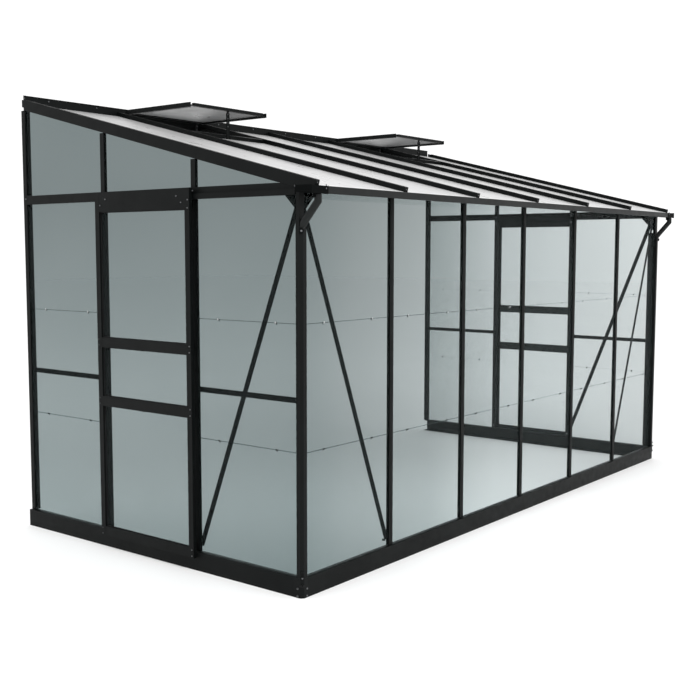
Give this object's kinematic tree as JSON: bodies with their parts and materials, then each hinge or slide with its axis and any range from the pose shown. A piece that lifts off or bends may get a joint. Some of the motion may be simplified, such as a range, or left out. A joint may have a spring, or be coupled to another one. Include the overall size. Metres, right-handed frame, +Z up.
{
  "type": "lean-to greenhouse",
  "caption": "Wall-side greenhouse: glazed aluminium frame, single-pitch sheet roof with gutter and raised vents, and a sliding door in each end.",
  "frame": {"origin": "centre of the bounding box at ground level, under the middle of the room", "axes": "+X along the wall, the eaves and gutter face -Y, the open wall side faces +Y, +Z up"},
  "size_m": [3.86, 2.005, 2.2405],
  "materials": {
    "frame_coat": "satin powder coat, near black",
    "gutter_coat": "satin powder coat, near black",
    "wall_glass": "clear with a green-grey tint",
    "roof_sheet": "translucent twin-wall sheet"
  },
  "bodies": {
    "frame": {"base_rail_front": "frame_coat", "base_rail_left": "frame_coat", "base_rail_right": "frame_coat", "corner_block_left": "frame_coat", "corner_block_right": "frame_coat", "corner_post_left": "frame_coat", "corner_post_right": "frame_coat", "downpipe_left": "gutter_coat", "downpipe_right": "gutter_coat", "front_bars": "frame_coat", "front_brace_left": "frame_coat", "front_brace_right": "frame_coat", "front_glass_1": "wall_glass", "front_glass_2": "wall_glass", "front_glass_3": "wall_glass", "front_glass_4": "wall_glass", "front_glass_5": "wall_glass", "front_glass_6": "wall_glass", "gable_brace_left": "frame_coat", "gable_brace_right": "frame_coat", "gable_frame_left": "frame_coat", "gable_frame_right": "frame_coat", "gable_glass_back_left": "wall_glass", "gable_glass_back_right": "wall_glass", "gable_glass_front_left": "wall_glass", "gable_glass_front_right": "wall_glass", "gable_glass_top_left": "wall_glass", "gable_glass_top_right": "wall_glass", "gable_rafter_left": "frame_coat", "gable_rafter_right": "frame_coat", "gutter": "gutter_coat", "gutter_outlet_left": "gutter_coat", "gutter_outlet_right": "gutter_coat", "roof_bars": "frame_coat", "roof_panel_1": "roof_sheet", "roof_panel_2": "roof_sheet", "roof_panel_3": "roof_sheet", "roof_panel_4": "roof_sheet", "roof_panel_5": "roof_sheet", "roof_panel_6": "roof_sheet", "vent_1": "frame_coat", "vent_2": "frame_coat", "vent_panel_1": "roof_sheet", "vent_panel_2": "roof_sheet", "vent_sill_1": "frame_coat", "vent_sill_2": "frame_coat", "wall_post_left": "frame_coat", "wall_post_right": "frame_coat"},
    "left_door": {"door_frame_left": "frame_coat", "door_glass_left": "wall_glass"},
    "right_door": {"door_frame_right": "frame_coat", "door_glass_right": "wall_glass"}
  },
  "joints": [
    {"name": "left_door_slide", "type": "slide", "parent": "frame", "child": "left_door", "axis": [0, -1, 0], "range_m": [0, 0.6]},
    {"name": "right_door_slide", "type": "slide", "parent": "frame", "child": "right_door", "axis": [0, -1, 0], "range_m": [0, 0.6]}
  ]
}
